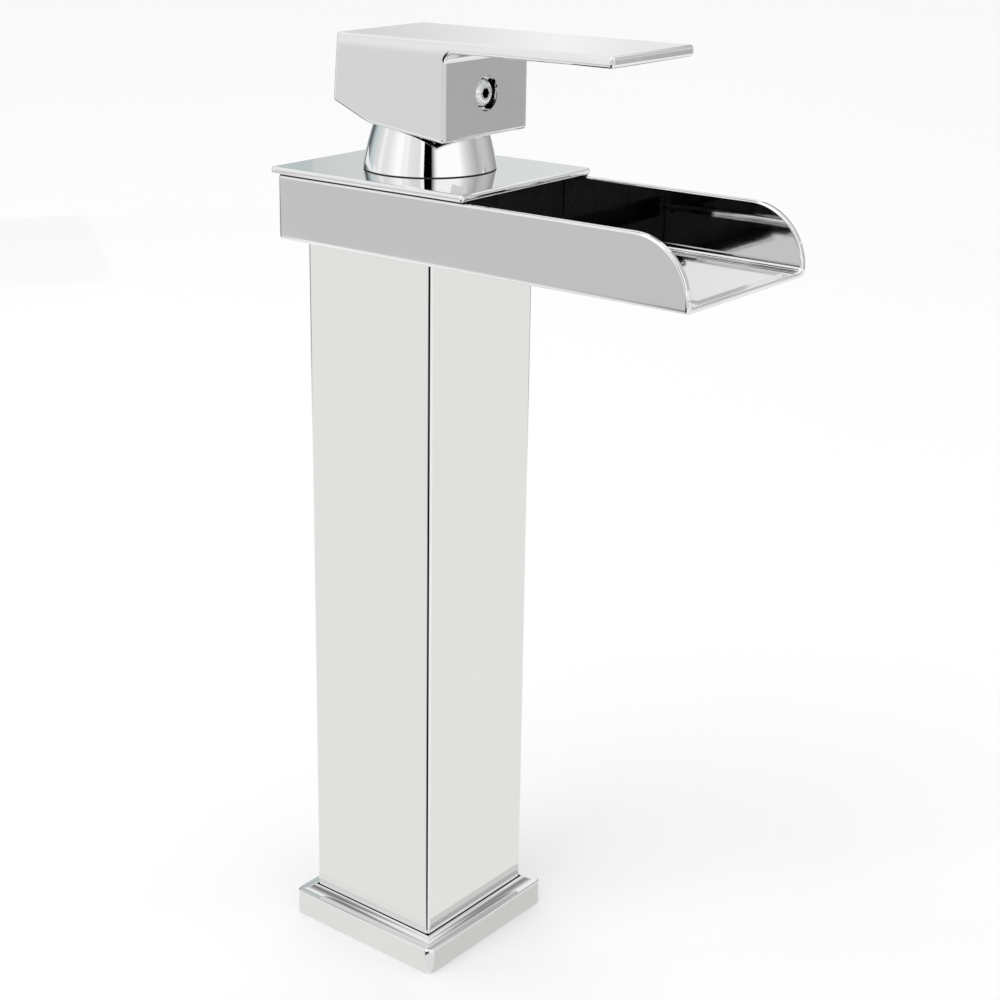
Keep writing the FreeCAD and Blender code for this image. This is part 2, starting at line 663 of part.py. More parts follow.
def make_flow_baffle():
    """A black plastic baffle across the channel: water runs over its weir and out under its plate."""
    body = new_body("flow_baffle")
    half = "spout_width / 2 - spout_wall - baffle_gap"
    inner = half + " - baffle_foot"
    low = "spout_under + spout_floor"
    face = front_view(body, "face", "baffle_front - baffle_thick")
    rectangle(face, "-(%s)" % half, half, low, "spout_under + spout_tall")
    add(body, face, "baffle_thick")
    gap = front_view(body, "gap", "baffle_front")
    rectangle(gap, "-(%s)" % inner, inner, low, low + " + outlet_gap")
    remove(body, gap, "baffle_thick")
    weir = front_view(body, "weir", "weir_front - weir_thick")
    rectangle(weir, "-(%s)" % half, half, low, low + " + weir_tall")
    add(body, weir, "weir_thick")
    cheeks = front_view(body, "cheeks", "weir_front")
    rectangle(cheeks, "-(%s)" % half, "-(%s)" % inner, low, low + " + weir_tall")
    rectangle(cheeks, inner, half, low, low + " + weir_tall")
    add(body, cheeks, "baffle_front - baffle_thick - weir_front")

    foot = number(low)
    outer = number(half)
    round_edges(body, "corners", "spout_inner_round + baffle_gap",
                lambda box: is_level_at(box, foot) and near(box.YLength, 0) and near(abs(box.YMin), outer))
    return body


def make_cover_gasket():
    """A thin black strip between the spout's walls and the cover plate, open to the front."""
    body = new_body("cover_gasket")
    outline = level(body, "outline", "spout_under + spout_tall")
    half = "spout_width / 2 - cover_gasket_inset"
    rectangle(outline, "spout_rear + cover_gasket_inset", "cover_front - cover_gasket_inset",
              "-(%s)" % half, half)
    add(body, outline, "cover_gasket_thick")
    inner = level(body, "inner", "spout_under + spout_tall + cover_gasket_thick")
    inner_half = half + " - cover_gasket_width"
    rectangle(inner, "spout_rear + cover_gasket_inset + cover_gasket_width", "cover_front",
              "-(%s)" % inner_half, inner_half)
    remove(body, inner, "cover_gasket_thick")
    return body


def cover_low():
    return "spout_under + spout_tall + cover_gasket_thick"


def make_cover_plate():
    body = new_body("cover_plate")
    outline = level(body, "outline", cover_low())
    rectangle(outline, "cover_rear", "cover_front", "-cover_width / 2", "cover_width / 2")
    add(body, outline, "cover_thick")
    round_edges(body, "corners", "cover_corner", is_upright)
    low = number(cover_low())
    high = number(cover_low() + " + cover_thick")
    round_edges(body, "edges", "cover_round",
                lambda box: is_level_at(box, low) or is_level_at(box, high))
    drill(body, "cup_hole", cover_low() + " + cover_thick", "cover_thick", [("valve_x", "0")],
          "cup_radius + cup_clearance")
    return body


# ---------------------------------------------------------------- cartridge

def inlet_ports():
    return both_sides("port_x", "supply_y")


def drain_port():
    return [("drain_x", "0")]


def make_cartridge_base():
    top = "cup_floor + cartridge_base_thick"
    body = turned("cartridge_base", [
        ("0", "cup_floor"), ("cartridge_radius", "cup_floor"), ("cartridge_radius", top), ("0", top)])
    drill(body, "inlets", top, "cartridge_base_thick", inlet_ports(), "port_radius")
    drill(body, "drain", top, "cartridge_base_thick", drain_port(), "drain_radius")
    drill(body, "seal_seats", "cup_floor + port_seal_tall", "port_seal_tall",
          inlet_ports() + drain_port(), "port_seal_outer")
    return body


def make_port_seals():
    """Three rubber rings that seal the cartridge's base to the cup's floor."""
    seals = []
    for x, y in inlet_ports() + drain_port():
        name = "port_seal_%d" % (len(seals) + 1)
        seals.append(tube(name, "port_seal_inner", "port_seal_outer", "cup_floor",
                          "cup_floor + port_seal_tall", "valve_x + " + x, y))
    return group("port_seals", seals)


def make_fixed_disc():
    low = "cup_floor + cartridge_base_thick"
    top = low + " + fixed_disc_thick"
    body = turned("fixed_disc", [
        ("0", low), ("fixed_disc_radius", low), ("fixed_disc_radius", top), ("0", top)])
    drill(body, "inlets", top, "fixed_disc_thick", inlet_ports(), "port_radius")
    drill(body, "drain", top, "fixed_disc_thick", drain_port(), "drain_radius")
    return body


def make_moving_disc():
    low = "cup_floor + cartridge_base_thick + fixed_disc_thick + water_film"
    body = turned("moving_disc", [
        ("0", low), ("moving_disc_radius", low), ("moving_disc_radius", "moving_disc_top"),
        ("0", "moving_disc_top")], "valve_x + disc_offset")
    pocket = level(body, "mixing_pocket", low + " + pocket_depth")
    rectangle(pocket, "pocket_rear", "pocket_front", "-pocket_half", "pocket_half")
    remove(body, pocket, "pocket_depth")
    return body


def make_disc_carrier():
    """It holds the moving disc; its flats run between the spindle's lugs, and the lever's ball sits in it."""
    body = turned("disc_carrier", [
        ("0", "moving_disc_top"), ("carrier_radius", "moving_disc_top"),
        ("carrier_radius", "carrier_top"), ("0", "carrier_top")], "valve_x + disc_offset")
    flats = level(body, "flats", "carrier_top")
    rectangle(flats, "-carrier_radius", "carrier_radius", "carrier_flat", "carrier_radius + overrun")
    rectangle(flats, "-carrier_radius", "carrier_radius", "-carrier_radius - overrun", "-carrier_flat")
    remove(body, flats, "carrier_top - moving_disc_top")
    drill(body, "ball_socket", "carrier_top", "carrier_top - ball_socket_low", [("-disc_offset", "0")],
          "ball_socket_radius")
    return body


def make_cartridge_housing():
    low = "cup_floor + cartridge_base_thick"
    return turned("cartridge_housing", [
        ("housing_bore", low), ("cartridge_radius", low), ("cartridge_radius", "thread_low"),
        ("neck_radius", "thread_low"), ("neck_radius", "neck_top"), ("neck_bore", "neck_top"),
        ("neck_bore", "shoulder_low"), ("housing_bore", "shoulder_low")])


def make_slip_ring():
    return tube("slip_ring", "slip_ring_bore", "spindle_flange_radius",
                "spindle_flange_top + slip_ring_gap", "shoulder_low")


def make_spindle_carrier():
    """The turning sleeve: its slot carries the stem on a pin, and its two lugs turn the disc carrier."""
    body = turned("spindle_carrier", [
        ("0", "spindle_flange_low"), ("spindle_flange_radius", "spindle_flange_low"),
        ("spindle_flange_radius", "spindle_flange_top"), ("spindle_radius", "spindle_flange_top"),
        ("spindle_radius", "spindle_top"), ("0", "spindle_top")])
    lugs = level(body, "lugs", "lug_low")
    rectangle(lugs, "-lug_half", "lug_half", "lug_inner", "lug_outer")
    rectangle(lugs, "-lug_half", "lug_half", "-lug_outer", "-lug_inner")
    add(body, lugs, "spindle_flange_top - lug_low")
    slot = level(body, "stem_slot", "spindle_top")
    rectangle(slot, "-slot_half_long", "slot_half_long", "-slot_half_wide", "slot_half_wide")
    remove(body, slot, "spindle_top - spindle_flange_low")
    cross_hole(body, "pin_hole", "pin_radius")
    return body


def cross_hole(body, name, radius):
    """A hole right through along Y at the height of the pivot."""
    before = body.Shape.Volume
    sketch = circle(side_view(body, name), "0", "pivot_height", radius)
    pocket = body.newObject("PartDesign::Pocket", sketch.Name + "_pocket")
    pocket.Profile = sketch
    pocket.SideType = "Symmetric"
    bind(pocket, "Length", "4 * pin_half_length")
    document.recompute()
    if before - body.Shape.Volume < SMALLEST_CUT:
        raise RuntimeError(pocket.Name + " cuts nothing")


def make_pivot_pin():
    body = new_body("pivot_pin", "valve_x")
    section = circle(side_view(body, "section"), "0", "pivot_height", "pin_radius")
    pad = add(body, section, "2 * pin_half_length")
    pad.SideType = "Symmetric"
    document.recompute()
    return body


def make_lever_stem():
    """A square stem on the pivot pin, with a rod and ball below that push the disc carrier."""
    body = new_body("lever_stem", "valve_x")
    square = centred_square(level(body, "square", "stem_low"), "stem_half")
    add(body, square, "stem_top - stem_low")
    rod = circle(level(body, "rod", "ball_height"), "0", "0", "rod_radius")
    add(body, rod, "stem_low - ball_height")
    profile = side_view(body, "ball")
    centre = FreeCAD.Vector(0, number("ball_height"), 0)
    radius = number("ball_radius")
    quarter_turn = math.pi / 2
    outline = Part.Circle(centre, FreeCAD.Vector(0, 0, 1), radius)
    round_side = Part.ArcOfCircle(outline, -quarter_turn, quarter_turn)
    arc = profile.addGeometry(round_side)
    low = FreeCAD.Vector(0, number("ball_height - ball_radius"), 0)
    high = FreeCAD.Vector(0, number("ball_height + ball_radius"), 0)
    line = profile.addGeometry(Part.LineSegment(high, low))
    profile.addConstraint(Sketcher.Constraint("Coincident", arc, 2, line, 1))
    profile.addConstraint(Sketcher.Constraint("Coincident", arc, 1, line, 2))
    fix_point(profile, arc, 3, "0", "ball_height")
    fix_point(profile, line, 1, "0", "ball_height + ball_radius")
    profile.addConstraint(Sketcher.Constraint("Vertical", line))
    turn(body, profile)
    cross_hole(body, "pin_hole", "pin_radius + pin_gap")
    return body


# ---------------------------------------------------------------- nut, ring and trim cap

def make_retaining_nut():
    """It screws into the cup's rim and holds the cartridge down by its shoulder."""
    body = tube("retaining_nut", "nut_bore", "thread_radius - nut_thread_gap", "thread_low", "cup_top")
    head = hexagon(level(body, "head", "cup_top"), "0", "0", "nut_corner")
    circle(head, "0", "0", "nut_bore")
    add(body, head, "nut_top - cup_top")
    return body


def cover_top():
    return cover_low() + " + cover_thick"


def cap_low():
    return cover_top() + " + cap_ring_flange"


def make_cap_ring():
    """A rubber ring with a flange under the trim cap's foot and a lip that centres the cap on the cup."""
    inner = "cup_radius + cap_ring_gap"
    lip_top = cover_top() + " + cap_ring_tall"
    return turned("cap_ring", [
        (inner, cover_top()), ("cap_ring_outer", cover_top()), ("cap_ring_outer", cap_low()),
        ("cap_seat_radius", cap_low()), ("cap_seat_radius", lip_top), (inner, lip_top)])


def bulged_line(sketch, start, end, radius):
    """An arc from start to end, bulging away from the axis; both are pairs of expressions."""
    first = FreeCAD.Vector(number(start[0]), number(start[1]), 0)
    last = FreeCAD.Vector(number(end[0]), number(end[1]), 0)
    half_chord = (last - first).Length / 2
    sagitta = radius - (radius ** 2 - half_chord ** 2) ** 0.5
    along = (last - first).normalize()
    outward = FreeCAD.Vector(along.y, -along.x, 0)
    middle = (first + last) * 0.5 + outward * sagitta
    return sketch.addGeometry(Part.Arc(first, middle, last))


def make_trim_cap():
    """The chrome cone between the cover plate and the handle."""
    body = new_body("trim_cap", "valve_x")
    sketch = side_view(body, "profile")
    top = cap_low() + " + cap_tall"
    outer_foot = ("cap_foot_radius", cap_low())
    outer_top = ("cap_top_radius", top)
    inner_top = ("cap_top_radius - cap_wall", top + " - cap_wall")
    seat_top = ("cap_seat_radius", cap_low() + " + cap_seat_tall")
    seat_foot = ("cap_seat_radius", cap_low())
    corners = [outer_top, ("cap_mouth", top), ("cap_mouth", top + " - cap_wall"), inner_top,
               seat_top, seat_foot, outer_foot]
    places = [FreeCAD.Vector(number(x), number(y), 0) for x, y in corners]
    lines = []
    for start, end in zip(places, places[1:]):
        lines.append(sketch.addGeometry(Part.LineSegment(start, end)))
    side = bulged_line(sketch, outer_foot, outer_top, number("cap_bulge"))
    for one, following in zip(lines, lines[1:]):
        sketch.addConstraint(Sketcher.Constraint("Coincident", one, 2, following, 1))
    sketch.addConstraint(Sketcher.Constraint("Coincident", lines[-1], 2, side, 1))
    sketch.addConstraint(Sketcher.Constraint("Coincident", side, 2, lines[0], 1))
    for line, corner in zip(lines, corners):
        fix_point(sketch, line, 1, *corner)
    fix_point(sketch, lines[-1], 2, *outer_foot)
    held = sketch.addConstraint(Sketcher.Constraint("Radius", side, number("cap_bulge")))
    bind(sketch, "Constraints[%d]" % held, "cap_bulge")
    turn(body, sketch)
    return body


# ---------------------------------------------------------------- handle

def make_handle():
    """One casting: a hollow block over the trim cap, and a thin lever level with its top."""
    body = new_body("handle")
    profile = side_view(body, "profile")
    polygon(profile, [
        ("block_rear + block_rear_lean", "handle_top"),
        ("block_rear", "block_rear_low"),
        ("block_bend_x", "block_bend_low"),
        ("block_front", "block_front_low"),
        ("block_front", "handle_top - lever_thick"),
        ("lever_end", "handle_top - lever_thick"),
        ("lever_end", "handle_top"),
    ])
    pad = add(body, profile, "handle_width")
    pad.SideType = "Symmetric"
    document.recompute()

    bend_x = number("block_bend_x")
    round_edges(body, "underside_bend", "bend_round",
                lambda box: near(box.XMin, bend_x) and near(box.XMax, bend_x))
    front = number("block_front")
    root = number("handle_top - lever_thick")
    round_edges(body, "lever_root", "lever_root_radius",
                lambda box: near(box.XMin, front) and near(box.XMax, front) and is_level_at(box, root))
    half = number("handle_width / 2")

    def is_outline(box):
        on_side = near(box.YLength, 0) and near(abs(box.YMin), half)
        across = near(box.YLength, 2 * half) and near(box.XLength, 0) and near(box.ZLength, 0)
        is_corner = any(near(box.XMin, number(x)) and near(box.ZMin, number(z)) for x, z in (
            ("block_rear + block_rear_lean", "handle_top"),
            ("block_rear", "block_rear_low"),
            ("block_front", "block_front_low"),
            ("lever_end", "handle_top"),
            ("lever_end", "handle_top - lever_thick"),
        ))
        return on_side or (across and is_corner)
    round_edges(body, "outer_edges", "handle_round", is_outline)

    hollow = level(body, "hollow", "hollow_roof")
    rectangle(hollow, "hollow_rear", "hollow_front", "-hollow_half", "hollow_half")
    circle(hollow, "valve_x", "0", "boss_radius")
    remove(body, hollow, "hollow_roof - block_front_low + lever_thick")
    boss_end = level(body, "boss_end", "boss_low")
    circle(boss_end, "valve_x", "0", "boss_radius + overrun")
    remove(body, boss_end, "boss_low - block_front_low + lever_thick")

    screw_boss = front_view(body, "screw_boss", "valve_x + stem_half")
    circle(screw_boss, "0", "set_screw_height", "set_screw_boss")
    add(body, screw_boss, "hollow_front - valve_x - stem_half + overrun")
    stem_socket = level(body, "stem_socket", "stem_top")
    rectangle(stem_socket, "valve_x - stem_half - stem_gap", "valve_x + stem_half + stem_gap",
              "-stem_half - stem_gap", "stem_half + stem_gap")
    remove(body, stem_socket, "stem_top - boss_low + overrun")
    screw_hole = front_view(body, "screw_hole", "block_front")
    circle(screw_hole, "0", "set_screw_height", "set_screw_radius + set_screw_gap")
    remove(body, screw_hole, "block_front - valve_x - stem_half")
    recess = front_view(body, "screw_recess", "block_front")
    circle(recess, "0", "set_screw_height", "recess_radius")
    remove(body, recess, "recess_depth")
    return body


def make_handle_set_screw():
    """The screw that locks the handle on the stem: a thread, and a domed head with a hexagon socket."""
    body = new_body("handle_set_screw")
    thread = front_view(body, "thread", "valve_x + stem_half")
    circle(thread, "0", "set_screw_height", "set_screw_radius")
    add(body, thread, "set_screw_face - valve_x - stem_half")
    head = front_view(body, "head", "set_screw_face - set_screw_head_long")
    circle(head, "0", "set_screw_height", "set_screw_head")
    add(body, head, "set_screw_head_long")
    face = number("set_screw_face")
    head_across = number("2 * set_screw_head")

    def is_rim(box):
        return near(box.XMin, face) and near(box.XMax, face) and near(box.YLength, head_across)
    round_edges(body, "dome", "set_screw_dome", is_rim)
    socket = front_view(body, "socket", "set_screw_face")
    hexagon(socket, "0", "set_screw_height", "hex_socket_radius")
    remove(body, socket, "hex_socket_depth")
    return body


# ---------------------------------------------------------------- the mixer

SUB_PARTS = [
    make_base_plate(),
    make_base_gasket(),
    make_inlet_block(),
    make_column(),
    make_riser("riser_tube_hot", "supply_y"),
    make_riser("riser_tube_cold", "-supply_y"),
    make_riser_seals(),
    make_valve_body(),
    make_spout_gasket(),
    make_spout_trough(),
    make_spout_screws(),
    make_flow_baffle(),
    make_cover_gasket(),
    make_cover_plate(),
    make_cartridge_base(),
    make_port_seals(),
    make_cartridge_housing(),
    make_fixed_disc(),
    make_moving_disc(),
    make_disc_carrier(),
    make_slip_ring(),
    make_spindle_carrier(),
    make_pivot_pin(),
    make_lever_stem(),
    make_retaining_nut(),
    make_cap_ring(),
    make_trim_cap(),
    make_handle(),
    make_handle_set_screw(),
]

document.recompute()
for item in document.Objects:
    if "Invalid" in item.State or "Error" in item.State:
        raise RuntimeError("%s has failed: %s" % (item.Name, item.State))
for sub_part in SUB_PARTS:
    if sub_part.Shape.isNull() or not sub_part.Shape.isValid():
        raise RuntimeError(sub_part.Label + " has no valid shape")

os.makedirs("parts", exist_ok=True)
for sub_part in SUB_PARTS:
    sub_part.Shape.exportStep("parts/%s.step" % sub_part.Label)
    box = sub_part.Shape.BoundBox
    print("%-18s %8.1f mm3, %d solids, z %.1f to %.1f" % (
        sub_part.Label, sub_part.Shape.Volume, len(sub_part.Shape.Solids), box.ZMin, box.ZMax))
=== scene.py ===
import json
import math

import bpy
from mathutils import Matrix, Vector


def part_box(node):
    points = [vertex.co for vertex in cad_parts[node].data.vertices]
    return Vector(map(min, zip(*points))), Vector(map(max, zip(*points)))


# The looks of a tall basin mixer: finishes for its CAD parts, a plain white studio and the camera.
# All sizes are in metres. Directions round the mixer are azimuths in degrees: 0 is the side that
# faces -Y, 90 the side that faces +X, where the spout's lip is.

MM = 0.001

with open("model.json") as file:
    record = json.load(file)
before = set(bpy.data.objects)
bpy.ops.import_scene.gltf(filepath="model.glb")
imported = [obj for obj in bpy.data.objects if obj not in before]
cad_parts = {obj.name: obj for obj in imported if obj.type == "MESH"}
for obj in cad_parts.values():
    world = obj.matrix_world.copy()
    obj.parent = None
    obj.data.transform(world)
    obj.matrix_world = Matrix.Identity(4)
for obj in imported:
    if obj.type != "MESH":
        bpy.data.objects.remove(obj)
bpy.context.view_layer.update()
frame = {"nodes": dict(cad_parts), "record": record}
nodes = frame["nodes"]
slot_of = {part["node"]: part["material_slot"] for part in frame["record"]["subparts"]}

# Details of the mixer: how far the set screw lies behind the block's front face, the lever's
# thickness at its end, half the width of the set screw's socket, how far in the painted shade inside
# the socket begins, and how soft that limit is.
SCREW_SUNK = 0.4 * MM
LEVER_THICK = 3.4 * MM
SOCKET_HALF = 1.7 * MM
SOCKET_LIP = 0.12 * MM
SOCKET_BLUR = 0.04 * MM

CAMERA_PLACE = Vector((0.3772, -0.4455, 0.3597))
CAMERA_AZIMUTH = 40.8
CAMERA_ELEVATION = 18.3
CAMERA_LENS_MM = 68.4
CAMERA_SENSOR_MM = 36.0
CAMERA_SHIFT = (0.0967, -0.045)
CAMERA_REACH = (0.05, 100.0)

FLOOR_REACH = 30.0
FLOOR_BLOTCH = 0.6

# The key light stands this many degrees to the left of the camera.
KEY_TURN = 50
KEY_WIDTH = 1.2
KEY_WATTS = 6.0
KEY_DISTANCE = 2.2
KEY_ELEVATION = 60

# Tints of the cards that the chrome shows.
WHITE = (1.0, 1.0, 1.0)
CREAM = (1.0, 0.995, 0.985)
WARM = (1.0, 0.99, 0.97)
COOL = (0.97, 1.0, 1.0)
COLD = (0.88, 0.98, 1.0)

# Heights of the floor's cards: the base's mats lie over the other mats, and all mats over the sectors.
SECTOR_LIFT = 0.15 * MM
MAT_LIFT = 0.3 * MM
BASE_MAT_LIFT = 0.5 * MM

# A mat reaches this far past its face, and the spout's begins this far above the spout's underside.
MAT_MARGIN = 3 * MM
SPOUT_MAT_TRIM = 0.5 * MM

# Radii of the rings on which upright cards stand round the mixer, and the most degrees in one piece.
BASE_RING = 0.17
STRIPE_RING = 1.1
STEP_RING = 1.2
RIGHT_RING = 1.25
LEFT_RING = 1.3
REAR_RING = 4.0
RING_STEP = 3.0

# Heights that cards share: where the side cards begin and end, the levels where the rear ones meet, and
# the height over which the base's cards fade.
SIDE_LOW = 0.31
SIDE_HIGH = 1.1
REAR_LOW = 0.5
REAR_MIDDLE = 0.84
REAR_HIGH = 1.05
REAR_TOP = 1.4
BASE_FADE = 0.04

# Radii of the floor's sectors: a small one at the base's corner, the dark one round it and its fade, then
# the far one and the one at the left.
SECTOR_START = 1 * MM
SECTOR_TIP = 11 * MM
SECTOR_END = 1.08
SECTOR_FADE = 0.3
FAR_SECTOR = (1.45, 3.6)
LEFT_SECTOR = (1.0, 1.29)

# The numbers of a colour mixer's sockets: its factor, its two colours and its result.
MIX_FACTOR = 0
MIX_FIRST = 6
MIX_SECOND = 7
MIX_RESULT = 2

X, Y = 0, 1


# ---------------------------------------------------------------- finishes

class Finish:
    """A Principled material, with short calls for the texture nodes that feed it."""

    def __init__(self, name, **values):
        self.name = name
        self.material = bpy.data.materials.new(name)
        self.material.use_nodes = True
        self.tree = self.material.node_tree
        self.shader = self.tree.nodes["Principled BSDF"]
        for socket, value in values.items():
            self.shader.inputs[socket.replace("_", " ")].default_value = value
        self.place = self.add("ShaderNodeTexCoord").outputs["Object"]

    def add(self, kind, **settings):
        node = self.tree.nodes.new(kind)
        for setting, value in settings.items():
            setattr(node, setting, value)
        return node

    def plug(self, source, node, socket):
        """Feeds a socket from another node's output, or gives it a fixed value."""
        if isinstance(source, (int, float, tuple)):
            node.inputs[socket].default_value = source
        else:
            self.tree.links.new(source, node.inputs[socket])

    def stretched(self, along):
        """The place, with each axis multiplied, so that a texture is drawn out along the small ones."""
        mapping = self.add("ShaderNodeMapping")
        self.plug(self.place, mapping, "Vector")
        self.plug(along, mapping, "Scale")
        return mapping.outputs["Vector"]

    def noise(self, grain, detail=2.0, along=None):
        """Soft noise from 0 to 1, with blotches about one grain across."""
        noise = self.add("ShaderNodeTexNoise")
        self.plug(self.place if along is None else self.stretched(along), noise, "Vector")
        self.plug(1 / grain, noise, "Scale")
        self.plug(detail, noise, "Detail")
        return noise.outputs["Fac"]

    def calculate(self, operation, first, second):
        node = self.add("ShaderNodeMath", operation=operation)
        self.plug(first, node, 0)
        self.plug(second, node, 1)
        return node.outputs[0]

    def spread(self, value, low, high, start=0.3, end=0.7):
        """The value carried from start..end to low..high, and held there outside."""
        node = self.add("ShaderNodeMapRange")
        self.plug(value, node, "Value")
        self.plug(start, node, "From Min")
        self.plug(end, node, "From Max")
        self.plug(low, node, "To Min")
        self.plug(high, node, "To Max")
        return node.outputs["Result"]

    def between(self, factor, first, second):
        """A colour from first to second as the factor goes from 0 to 1."""
        node = self.add("ShaderNodeMix", data_type="RGBA")
        self.plug(factor, node, MIX_FACTOR)
        for socket, colour in ((MIX_FIRST, first), (MIX_SECOND, second)):
            self.plug((*colour, 1.0) if isinstance(colour, tuple) else colour, node, socket)
        return node.outputs[MIX_RESULT]

    def axes(self):
        """The place's x, y and z."""
        node = self.add("ShaderNodeSeparateXYZ")
        self.plug(self.place, node, "Vector")
        return node.outputs[0], node.outputs[1], node.outputs[2]

    def beyond(self, value, limit, blur):
        """0 below the limit and 1 above it, with a soft step."""
        return self.spread(value, 0.0, 1.0, limit - blur / 2, limit + blur / 2)

    def within(self, value, low, high, blur):
        """1 between two limits and 0 outside them."""
        return self.calculate("SUBTRACT", self.beyond(value, low, blur), self.beyond(value, high, blur))

    def colour(self, source):
        self.plug(source, self.shader, "Base Color")

    def roughness(self, source):
        self.plug(source, self.shader, "Roughness")

    def relief(self, height, depth):
        """Bump of the given depth."""
        bump = self.add("ShaderNodeBump")
        self.plug(depth, bump, "Distance")
        self.plug(height, bump, "Height")
        self.plug(bump.outputs["Normal"], self.shader, "Normal")


def polished_chrome():
    """Mirror plating over cast brass: faint long waves in the casting, and a wiped-down sheen."""
    finish = Finish("polished_chrome", Metallic=1.0)
    finish.colour(finish.between(finish.noise(40 * MM), (0.80, 0.81, 0.81), (0.83, 0.83, 0.825)))
    wiped = finish.noise(9 * MM, detail=4.0, along=(1.0, 1.0, 0.35))
    finish.roughness(finish.spread(wiped, 0.018, 0.045))
    finish.relief(finish.noise(14 * MM, detail=1.0), 0.004 * MM)
    return finish


def screw_steel():
    """Plated steel, with painted shade: the inside of the set screw's socket is painted near-black where
    shade falls.
    """
    finish = Finish("screw_steel", Metallic=1.0)
    screw_low, screw_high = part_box("handle_set_screw")
    x, y, z = finish.axes()
    middle = (screw_low.z + screw_high.z) / 2
    across = finish.within(y, -SOCKET_HALF, SOCKET_HALF, SOCKET_BLUR)
    upright = finish.within(z, middle - SOCKET_HALF, middle + SOCKET_HALF, SOCKET_BLUR)
    open_end = finish.beyond(x, screw_high.x - SOCKET_LIP, SOCKET_BLUR)
    # The socket mask marks the inside of the set screw's socket, where the painted shade goes.
    socket = finish.calculate("SUBTRACT", finish.calculate("MULTIPLY", across, upright), open_end)
    bright = finish.between(finish.noise(2 * MM), (0.72, 0.73, 0.74), (0.80, 0.81, 0.81))
    # Painted shade: a near-black colour for the inside of the socket.
    painted_socket_shade = (0.015, 0.014, 0.016)
    finish.colour(finish.between(finish.calculate("MAXIMUM", socket, 0.0), bright, painted_socket_shade))
    finish.roughness(finish.spread(finish.noise(0.6 * MM, along=(4.0, 0.6, 0.6)), 0.05, 0.14))
    finish.relief(finish.noise(0.35 * MM, along=(6.0, 1.0, 1.0)), 0.003 * MM)
    return finish


def black_rubber():
    finish = Finish("black_rubber")
    finish.colour(finish.between(finish.noise(4 * MM), (0.012, 0.012, 0.013), (0.028, 0.028, 0.03)))
    finish.roughness(finish.spread(finish.noise(1.5 * MM), 0.55, 0.8))
    finish.relief(finish.noise(0.3 * MM, detail=4.0), 0.02 * MM)
    return finish


def raw_brass():
    finish = Finish("raw_brass", Metallic=1.0)
    cast = finish.noise(12 * MM, detail=5.0)
    finish.colour(finish.between(cast, (0.62, 0.44, 0.18), (0.78, 0.60, 0.30)))
    finish.roughness(finish.spread(finish.noise(0.8 * MM, along=(0.4, 0.4, 5.0)), 0.22, 0.42))
    finish.relief(finish.noise(0.5 * MM, along=(0.3, 0.3, 4.0)), 0.012 * MM)
    return finish


def copper_tube():
    finish = Finish("copper_tube", Metallic=1.0)
    tarnish = finish.noise(15 * MM, detail=4.0)
    finish.colour(finish.between(tarnish, (0.60, 0.27, 0.16), (0.80, 0.42, 0.28)))
    finish.roughness(finish.spread(finish.noise(1 * MM, along=(3.0, 3.0, 0.2)), 0.2, 0.38))
    finish.relief(finish.noise(0.8 * MM, along=(3.0, 3.0, 0.1)), 0.008 * MM)
    return finish


def moulded(name, dark, light, roughness, grain, depth, **values):
    """Moulded or pressed stuff: its colour varies a little, and the mould has left a fine grain."""
    finish = Finish(name, **values)
    finish.colour(finish.between(finish.noise(6 * MM), dark, light))
    finish.roughness(finish.spread(finish.noise(2 * MM, detail=3.0), *roughness))
    finish.relief(finish.noise(grain, detail=3.0), depth)
    return finish


def black_plastic():
    return moulded("black_plastic", dark=(0.003, 0.003, 0.003), light=(0.006, 0.006, 0.006),
                   roughness=(0.5, 0.7), grain=0.4 * MM, depth=0.015 * MM, Specular_IOR_Level=0.12)


def cartridge_plastic():
    return moulded("cartridge_plastic", dark=(0.74, 0.74, 0.71), light=(0.84, 0.84, 0.82),
                   roughness=(0.35, 0.5), grain=0.5 * MM, depth=0.01 * MM)


def carrier_plastic():
    return moulded("carrier_plastic", dark=(0.12, 0.16, 0.26), light=(0.17, 0.22, 0.33),
                   roughness=(0.3, 0.45), grain=0.5 * MM, depth=0.01 * MM)


def slip_plastic():
    return moulded("slip_plastic", dark=(0.84, 0.84, 0.84), light=(0.92, 0.92, 0.92),
                   roughness=(0.15, 0.28), grain=0.6 * MM, depth=0.004 * MM)


def valve_ceramic():
    return moulded("valve_ceramic", dark=(0.88, 0.87, 0.83), light=(0.95, 0.94, 0.91),
                   roughness=(0.08, 0.16), grain=0.2 * MM, depth=0.002 * MM, Coat_Weight=0.4)


def dress_the_cad():
    """Gives every CAD node the finish that its material slot names."""
    finishes = {finish.name: finish.material for finish in (
        polished_chrome(), screw_steel(), black_rubber(), raw_brass(), copper_tube(), black_plastic(),
        cartridge_plastic(), carrier_plastic(), slip_plastic(), valve_ceramic(),
    )}
    for name, node in nodes.items():
        node.data.materials.clear()
        node.data.materials.append(finishes[slot_of[name]])


# ---------------------------------------------------------------- studio

def towards(azimuth, elevation=0.0):
    """The direction from the mixer at an azimuth and an elevation."""
    a, e = math.radians(azimuth), math.radians(elevation)
    return Vector((math.sin(a) * math.cos(e), -math.cos(a) * math.cos(e), math.sin(e)))


def glowing(name, tone, tint):
    """A material with its own even light, for what chrome reflects."""
    material = bpy.data.materials.new(name)
    material.use_nodes = True
    tree = material.node_tree
    tree.nodes.clear()
    light = tree.nodes.new("ShaderNodeEmission")
    light.inputs["Color"].default_value = (*tint, 1.0)
    light.inputs["Strength"].default_value = tone
    out = tree.nodes.new("ShaderNodeOutputMaterial")
    tree.links.new(light.outputs["Emission"], out.inputs["Surface"])
    return material


def staged(name, mesh):
    """A piece of the studio, which is no part of the mixer."""
    piece = bpy.data.objects.new(name, mesh)
    bpy.context.scene.collection.objects.link(piece)
    return piece


def flat_piece(name, corners, material):
    mesh = bpy.data.meshes.new(name)
    mesh.from_pydata(corners, [], [tuple(range(len(corners)))])
    mesh.materials.append(material)
    return staged(name, mesh)


